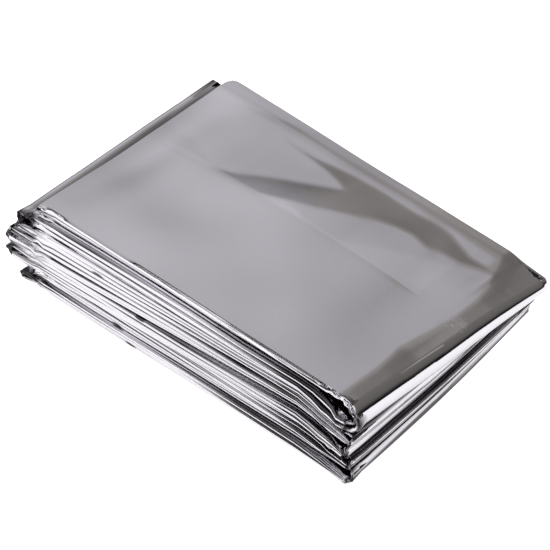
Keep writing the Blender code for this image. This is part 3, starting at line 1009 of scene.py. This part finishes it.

# Marks for the finish: where the film is crumpled, and painted shade where a crease
# or turn dips into the fold between itself and the next one.
NEAR_REACH = 1.6
PANEL_STEP = 1.9
ROLL_STEP = 2.3
LINE_PANEL_STEP = 2.4
LINE_ROLL_STEP = 3.9
LINE_SCATTER = 1.7
THROAT_FROM_LEFT = 0.74
THROAT_FROM_RIGHT = 0.46
THROAT_SPREAD = 0.24
THROAT_LEVEL = 0.62
THROAT_SWING = 0.38
THROAT_LENGTH = 13.0 * MM
TOP_EDGE_LINE = 0.7
TOP_EDGE_BEND = 0.99
LOOP_ANGLE = 3.4
LOOP_BEND = 2.0
LOOP_CONTRAST = 1.6
LOOP_DARK_LEFT = 0.95
LOOP_DARK_RIGHT = 0.45
BELOW_FROM = 0.62
BELOW_SPREAD = 0.30
STREAKS = 4.2
STREAK_PANEL_STEP = 2.6
STREAK_SLANT = 1.4
STREAK_LEVEL = 0.1
STREAK_LIMIT = 0.92
CONTRAST = 1.7
SHADE_LENGTH = 1.5 * MM
SHADE_BEND = 1.6
SHADE_LEVEL = 0.25
VALLEY_SHADE_WIDTH = 0.55 * MM
VALLEY_SHADE = 0.95
edges = np.array([c.edge for c in section])[None, :]
bends = np.array([c.bend for c in section])[None, :]
rolls = np.array([c.roll for c in section])[None, :]
row_loose = np.array(loose_of)[:, None]
row_bend = np.array(angle_of)[:, None]
row_panel = panel_line[:, None]
row_turning = (row_panel % 1.0 > NEARLY) & (row_panel % 1.0 < 1.0 - NEARLY)
row_along = np.clip(points[:, :, 0] / PACK_LENGTH + 0.5, 0.0, 1.0)
from_near = np.clip(1.0 - NEAR_REACH * inner, 0.0, 1.0)[None, :]
crumpled_here = row_loose ** 2 * edges * from_near

# Painted shade: the thin dark line beside each crease, and along the top edge
line_step = LINE_PANEL_STEP * np.floor(row_panel + 0.5) + LINE_ROLL_STEP * rolls
line = THROAT_LEVEL + THROAT_SWING * np.sin(LINE_SCATTER * line_step + points[:, :, 0] / THROAT_LENGTH)
throat_from = mix(THROAT_FROM_LEFT, THROAT_FROM_RIGHT, row_along)
painted_shade_mask = np.clip((np.abs(bends) - throat_from) / THROAT_SPREAD, 0.0, 1.0) * edges * line
top_edge = (row_panel < 0.5) & (rolls == 0.0) & (bends > 0.0)
painted_shade_mask = np.where(top_edge, TOP_EDGE_LINE * (bends > TOP_EDGE_BEND), painted_shade_mask)

# Painted shade on the near ends of the turns, dark and light by turns
loop_angle = LOOP_ANGLE * row_bend + PANEL_STEP * np.floor(row_panel) + ROLL_STEP * rolls
loop_end_shade = np.clip(LOOP_CONTRAST * np.sin(loop_angle + LOOP_BEND * bends)
                    + np.where(points[:, :, 0] < 0.0, LOOP_DARK_LEFT, LOOP_DARK_RIGHT), 0.0, 1.0)
loop_end_shade = loop_end_shade * row_turning * edges * from_near
shade_angle = points[:, :, 0] / SHADE_LENGTH + PANEL_STEP * np.floor(row_panel) + ROLL_STEP * rolls
loop_shade = np.clip(CONTRAST * np.sin(shade_angle + SHADE_BEND * bends) + SHADE_LEVEL, 0.0, 1.0)
loop_shade = loop_shade * row_loose ** 2 * edges * from_near * (points[:, :, 0] < 0.0)

# Painted shade where a turn tucks in above the next one, and painted dark reflections in streaks along it
below = np.clip((np.abs(row_bend) - BELOW_FROM) / BELOW_SPREAD, 0.0, 1.0)
below = below * ((row_panel > 1.5) | (row_bend < 0.0))
streak_angle = STREAKS * np.arcsin(row_bend) + STREAK_PANEL_STEP * np.floor(row_panel)
streak_wave = np.sin(streak_angle + STREAK_SLANT * inner[None, :])
dark_reflection_streaks = np.clip(CONTRAST * streak_wave + STREAK_LEVEL, 0.0, STREAK_LIMIT) * (row_panel > 1.5)

valley = np.exp(-((points[:, :, 0] + PACK_CENTRE[0] - VALLEY_X) / VALLEY_SHADE_WIDTH) ** 2)
valley = valley * ((row_panel > 0.95) & (row_panel < 1.4)) * (1.0 - edges)
# All the painted shade is put together, the darkest mark winning at each point
painted_shade_parts = (painted_shade_mask, loop_end_shade, below * row_turning, dark_reflection_streaks * row_turning, loop_shade,
         VALLEY_SHADE * valley)
painted_shade_mask = np.clip(np.max([np.broadcast_to(m, (rows, columns)) for m in painted_shade_parts], axis=0), 0.0, 1.0)
for name, values in (("crumpled", crumpled_here), ("painted_shade", painted_shade_mask)):
    layer = blanket_mesh.attributes.new(name, "FLOAT", "POINT")
    layer.data.foreach_set("value", np.broadcast_to(values, (rows, columns)).astype(np.float32).ravel())
blanket_mesh.vertices.foreach_set("co", points.ravel())
blanket_mesh.update()
blanket = bpy.data.objects.new("foil_blanket", blanket_mesh)
bpy.context.scene.collection.objects.link(blanket)
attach(blanket, "root")
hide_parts("folded_blanket")

# Floor: a plain sheet of white card that the pack lies on. It glows a little, so
# that it comes out white, and less so in what the film mirrors.
FLOOR_SIZE = 4.0
FLOOR_COLOUR = (0.88, 0.88, 0.88, 1.0)
FLOOR_ROUGHNESS = 0.9
FLOOR_GLOW = 0.56
FLOOR_SEEN_GLOW = 0.95
floor_mesh = bpy.data.meshes.new("floor")
half = FLOOR_SIZE / 2
floor_mesh.from_pydata([(-half, -half, 0), (half, -half, 0), (half, half, 0), (-half, half, 0)], [],
                       [(0, 1, 2, 3)])
floor = bpy.data.objects.new("floor", floor_mesh)
bpy.context.scene.collection.objects.link(floor)
card = bpy.data.materials.new("white_card")
card.use_nodes = True
card_shader = card.node_tree.nodes["Principled BSDF"]
card_shader.inputs["Base Color"].default_value = FLOOR_COLOUR
card_shader.inputs["Roughness"].default_value = FLOOR_ROUGHNESS
card_shader.inputs["Emission Color"].default_value = (1.0, 1.0, 1.0, 1.0)
card_seen = card.node_tree.nodes.new("ShaderNodeLightPath")
card_glow = card.node_tree.nodes.new("ShaderNodeMapRange")
card_glow.inputs["To Min"].default_value = FLOOR_GLOW
card_glow.inputs["To Max"].default_value = FLOOR_SEEN_GLOW
card.node_tree.links.new(card_seen.outputs["Is Camera Ray"], card_glow.inputs["Value"])
card.node_tree.links.new(card_glow.outputs[0], card_shader.inputs["Emission Strength"])
floor_mesh.materials.append(card)

# Studio: a soft white room with a grey wall behind the pack, a dark flag above
# its right-hand side, and one large lamp overhead that whitens the floor.
FLAG_DIRECTION = (0.619, 0.760, -0.199)
# How bright the room is, by how far a direction faces the flag
ROOM_BANDS = (
    (-1.0, 1.05), (-0.40, 1.05), (-0.26, 0.74), (-0.12, 0.60), (-0.04, 0.51), (0.080, 0.37),
    (0.096, 0.310), (0.14, 0.280), (0.19, 0.190), (0.26, 0.155), (0.60, 0.13), (0.98, 0.10),
)
WARM_FROM = 0.08
WARM_TO = 0.096
COOL_WALL = (1.0, 0.985, 1.02, 1.0)
WARM_WALL = (1.0, 0.95, 0.90, 1.0)
HORIZON_LOW = 0.14
HORIZON_HIGH = 0.60
HORIZON_DIM = 0.07
FRONT_DIRECTION = (-0.62, -0.78, 0.0)
FRONT_FROM = 0.33
FRONT_TO = 0.62
FRONT_DIM = 0.05
world = bpy.data.worlds.new("studio")
bpy.context.scene.world = world
world.use_nodes = True
room = world.node_tree
room.nodes.clear()
coords = room.nodes.new("ShaderNodeTexCoord")


def facing(direction):
    node = room.nodes.new("ShaderNodeVectorMath")
    node.operation = "DOT_PRODUCT"
    node.inputs[1].default_value = direction
    room.links.new(coords.outputs["Generated"], node.inputs[0])
    return node.outputs["Value"]


def ranged(value, start, end, at_start, at_end, interpolation="LINEAR"):
    node = room.nodes.new("ShaderNodeMapRange")
    node.interpolation_type = interpolation
    for label, amount in (("From Min", start), ("From Max", end), ("To Min", at_start), ("To Max", at_end)):
        node.inputs[label].default_value = amount
    room.links.new(value, node.inputs["Value"])
    return node.outputs[0]


facing_flag = facing(FLAG_DIRECTION)
bands = room.nodes.new("ShaderNodeFloatCurve")
curve = bands.mapping.curves[0]
bands.mapping.extend = "HORIZONTAL"
bands.mapping.use_clip = False
curve.points[0].location = ((ROOM_BANDS[0][0] + 1) / 2, ROOM_BANDS[0][1])
curve.points[1].location = (1.0, ROOM_BANDS[-1][1])
for position, value in ROOM_BANDS[1:]:
    curve.points.new((position + 1) / 2, value)
for point in curve.points:
    point.handle_type = "VECTOR"
bands.mapping.update()
room.links.new(ranged(facing_flag, -1.0, 1.0, 0.0, 1.0), bands.inputs["Value"])

# The room darkens towards the floor and towards the camera's side
split = room.nodes.new("ShaderNodeSeparateXYZ")
room.links.new(coords.outputs["Generated"], split.inputs[0])
horizon = ranged(split.outputs["Z"], HORIZON_LOW, HORIZON_HIGH, HORIZON_DIM, 1.0, "SMOOTHSTEP")
dim_front = ranged(facing(FRONT_DIRECTION), FRONT_FROM, FRONT_TO, 1.0, FRONT_DIM, "SMOOTHSTEP")
shade = maths(room, "ShaderNodeMath", "MULTIPLY", bands.outputs[0],
              maths(room, "ShaderNodeMath", "MULTIPLY", dim_front, horizon))
tint = room.nodes.new("ShaderNodeMix")
tint.data_type = "RGBA"
room.links.new(ranged(facing_flag, WARM_FROM, WARM_TO, 0.0, 1.0), tint.inputs["Factor"])
tint.inputs["A"].default_value = COOL_WALL
tint.inputs["B"].default_value = WARM_WALL

# The camera sees plain white past the floor's edge
seen = room.nodes.new("ShaderNodeLightPath")
pick = room.nodes.new("ShaderNodeMix")
room.links.new(seen.outputs["Is Camera Ray"], pick.inputs["Factor"])
room.links.new(shade, pick.inputs["A"])
pick.inputs["B"].default_value = 1.0
glow = room.nodes.new("ShaderNodeBackground")
room.links.new(tint.outputs["Result"], glow.inputs["Color"])
room.links.new(pick.outputs["Result"], glow.inputs["Strength"])
world_out = room.nodes.new("ShaderNodeOutputWorld")
room.links.new(glow.outputs[0], world_out.inputs["Surface"])

LAMP_SIZE = 3.0
LAMP_HEIGHT = 1.3
LAMP_POWER = 9.0
lamp_data = bpy.data.lights.new("overhead_lamp", "AREA")
lamp_data.size = LAMP_SIZE
lamp_data.energy = LAMP_POWER
lamp = bpy.data.objects.new("overhead_lamp", lamp_data)
lamp.location = (0.0, 0.0, LAMP_HEIGHT)
lamp.visible_glossy = False
bpy.context.scene.collection.objects.link(lamp)

# Soft box: a lit white sheet off to the left in front, mirrored in the rolled
# creases of the pack's left half.
BOX_SIZE = (0.60, 0.80)
BOX_CENTRE = (-0.622, -0.45, 0.343)
BOX_SLANT = math.radians(-16.9)
BOX_POWER = 2.1
box_data = bpy.data.lights.new("soft_box", "AREA")
box_data.shape = "RECTANGLE"
box_data.size = BOX_SIZE[0]
box_data.size_y = BOX_SIZE[1]
box_data.energy = BOX_POWER
box = bpy.data.objects.new("soft_box", box_data)
box.location = BOX_CENTRE
box.rotation_euler = (math.radians(90.0), BOX_SLANT, 0.0)
bpy.context.scene.collection.objects.link(box)

# Camera: a long lens from the pack's near right corner, looking down at it.
AZIMUTH = math.radians(42.9)
ELEVATION = math.radians(42.6)
DISTANCE = 1.5
LENS = 361.5
SENSOR_WIDTH = 36.0
CLIP_START = 0.05
CLIP_END = 20.0
SLIDE_RIGHT = -1.85 * MM
SLIDE_UP = 9.27 * MM
back = np.array([math.sin(AZIMUTH) * math.cos(ELEVATION), -math.cos(AZIMUTH) * math.cos(ELEVATION),
                 math.sin(ELEVATION)])
right = np.array([math.cos(AZIMUTH), math.sin(AZIMUTH), 0.0])
up = np.cross(back, right)
place_of_camera = back * DISTANCE + right * SLIDE_RIGHT + up * SLIDE_UP
place_of_camera[0] -= PACK_CENTRE[0]
place_of_camera[1] -= PACK_CENTRE[1]
camera_data = bpy.data.cameras.new("camera")
camera_data.lens = LENS
camera_data.sensor_width = SENSOR_WIDTH
camera_data.clip_start = CLIP_START
camera_data.clip_end = CLIP_END
camera = bpy.data.objects.new("camera", camera_data)
camera.location = place_of_camera
camera.rotation_euler = (math.pi / 2 - ELEVATION, 0.0, AZIMUTH)
bpy.context.scene.collection.objects.link(camera)
bpy.context.scene.camera = camera
bpy.context.scene.view_settings.view_transform = "Standard"
